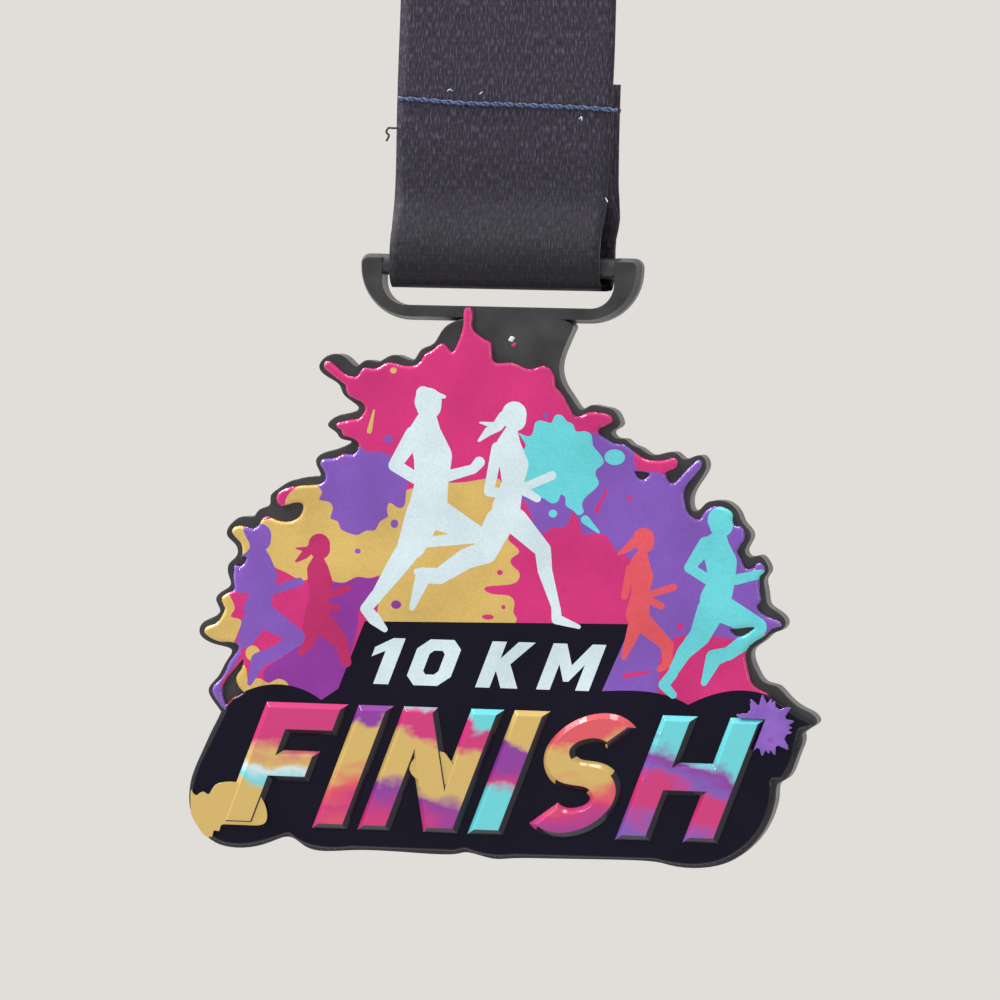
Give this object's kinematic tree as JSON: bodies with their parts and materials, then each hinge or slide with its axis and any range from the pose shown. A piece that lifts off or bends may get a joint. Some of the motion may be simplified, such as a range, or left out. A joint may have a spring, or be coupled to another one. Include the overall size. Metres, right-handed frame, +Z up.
{
  "type": "sports finisher medal",
  "caption": "Cast race medal with a raised printed splash of runners, bold raised letters, a slotted hanger and a folded neck ribbon looped round its bar.",
  "frame": {"origin": "centre of the peg that the folded ribbon hangs from", "axes": "+Z up along the hanging ribbon, the decorated face of the medal looks along -Y, +X to the viewer's right"},
  "size_m": [0.074, 0.0099, 0.1704],
  "materials": {
    "cast_black": "matte black paint on cast zinc alloy",
    "enamel_navy": "glossy dark navy under clear coat",
    "ink_pink": "glossy pink print under clear coat",
    "ink_purple": "glossy purple print under clear coat",
    "ink_plum": "glossy plum print under clear coat",
    "ink_ochre": "glossy ochre print under clear coat",
    "ink_cyan": "glossy cyan print under clear coat",
    "ink_coral": "glossy coral print under clear coat",
    "ink_white": "glossy near-white print under clear coat",
    "letter_enamel": "glossy bands of colour under clear coat",
    "ribbon_satin": "dark satin weave",
    "ribbon_thread": "twisted denim-blue sewing thread",
    "tie_fabric": "soft loop-pile band"
  },
  "bodies": {
    "ribbon": {"ribbon_bar_loop": "ribbon_satin", "ribbon_strand": "ribbon_satin", "ribbon_tails": "ribbon_satin", "ribbon_peg_loop": "ribbon_satin", "ribbon_hank": "ribbon_satin", "hank_tie": "tie_fabric", "seam_thread": "ribbon_thread", "loose_thread": "ribbon_thread"},
    "medal": {"medal_casting": "cast_black", "splash_relief": "enamel_navy", "title_plate": "enamel_navy", "letter_1_f": "letter_enamel", "letter_2_i": "letter_enamel", "letter_3_n": "letter_enamel", "letter_4_i": "letter_enamel", "letter_5_s": "letter_enamel", "letter_6_h": "letter_enamel", "runner_white_left": "ink_white", "runner_white_right": "ink_white", "runner_cyan": "ink_cyan", "runner_coral": "ink_coral", "runner_purple": "ink_purple", "runner_pink": "ink_pink", "print_cyan": "ink_cyan", "print_pink": "ink_pink", "print_purple": "ink_purple", "print_ochre": "ink_ochre", "print_plum": "ink_plum", "banner_figures": "ink_white", "paint_spray": "ink_purple"}
  },
  "joints": [
    {"name": "medal_swing", "type": "hinge", "parent": "ribbon", "child": "medal", "pos_m": [0, -0.0026, -0.098], "axis": [1, 0, 0], "range_deg": [-100, 100]}
  ]
}
